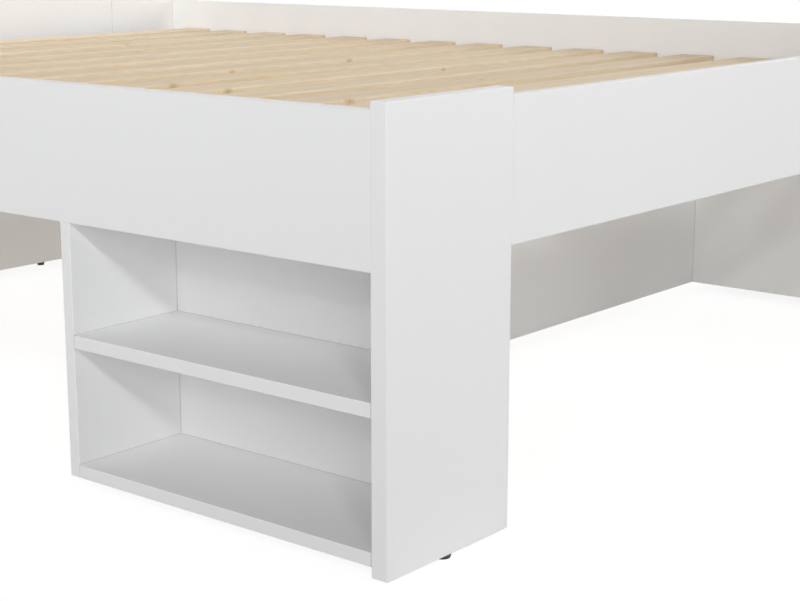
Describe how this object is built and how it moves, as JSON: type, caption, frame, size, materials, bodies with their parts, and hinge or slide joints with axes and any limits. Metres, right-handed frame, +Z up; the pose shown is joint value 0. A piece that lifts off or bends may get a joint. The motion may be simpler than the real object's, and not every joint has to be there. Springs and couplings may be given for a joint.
{
  "type": "bookcase headboard bed",
  "caption": "White double bed with open shelf niches under the side rails, a bookcase headboard with side towers, and a deck of pine slats.",
  "frame": {"origin": "on the floor under the middle of the bed", "axes": "+X across the bed to its right side seen from the foot, +Y from the foot to the headboard, +Z up"},
  "size_m": [1.644, 2.306, 1.055],
  "materials": {
    "white_laminate": "smooth matt white laminate with edge bands",
    "pine": "planed natural pine",
    "beech": "plain beech dowels",
    "zinc_steel": "zinc plated",
    "grey_steel": "grey powder coat",
    "black_plastic": "matt black"
  },
  "bodies": {
    "root": {"centre_beam": "pine", "centre_post": "grey_steel", "dowels": "beech", "floor_glides": "black_plastic", "foot_cross_panel": "white_laminate", "foot_leg_panel_left": "white_laminate", "foot_leg_panel_right": "white_laminate", "foot_niche_back_left": "white_laminate", "foot_niche_back_right": "white_laminate", "foot_niche_bottom_left": "white_laminate", "foot_niche_bottom_right": "white_laminate", "foot_niche_shelf_left": "white_laminate", "foot_niche_shelf_right": "white_laminate", "foot_rail": "white_laminate", "head_cross_panel": "white_laminate", "head_niche_back_left": "white_laminate", "head_niche_back_right": "white_laminate", "head_niche_bottom_left": "white_laminate", "head_niche_bottom_right": "white_laminate", "head_niche_shelf_left": "white_laminate", "head_niche_shelf_right": "white_laminate", "headboard_back_panel": "white_laminate", "headboard_centre_divider": "white_laminate", "headboard_centre_panel": "white_laminate", "headboard_centre_shelf": "white_laminate", "headboard_front_panel_left": "white_laminate", "headboard_front_panel_right": "white_laminate", "headboard_inner_side_left": "white_laminate", "headboard_inner_side_right": "white_laminate", "headboard_top": "white_laminate", "long_screws": "zinc_steel", "niche_top_boards": "white_laminate", "side_rail_left": "white_laminate", "side_rail_right": "white_laminate", "slat_01": "pine", "slat_02": "pine", "slat_03": "pine", "slat_04": "pine", "slat_05": "pine", "slat_06": "pine", "slat_07": "pine", "slat_08": "pine", "slat_09": "pine", "slat_10": "pine", "slat_11": "pine", "slat_12": "pine", "slat_13": "pine", "slat_14": "pine", "slat_15": "pine", "slat_16": "pine", "slat_ledge_left": "pine", "slat_ledge_right": "pine", "steel_brackets": "zinc_steel", "tower_shelf_1_left": "white_laminate", "tower_shelf_1_right": "white_laminate", "tower_shelf_2_left": "white_laminate", "tower_shelf_2_right": "white_laminate", "tower_shelf_3_left": "white_laminate", "tower_shelf_3_right": "white_laminate", "wood_screws": "zinc_steel"}
  },
  "joints": []
}
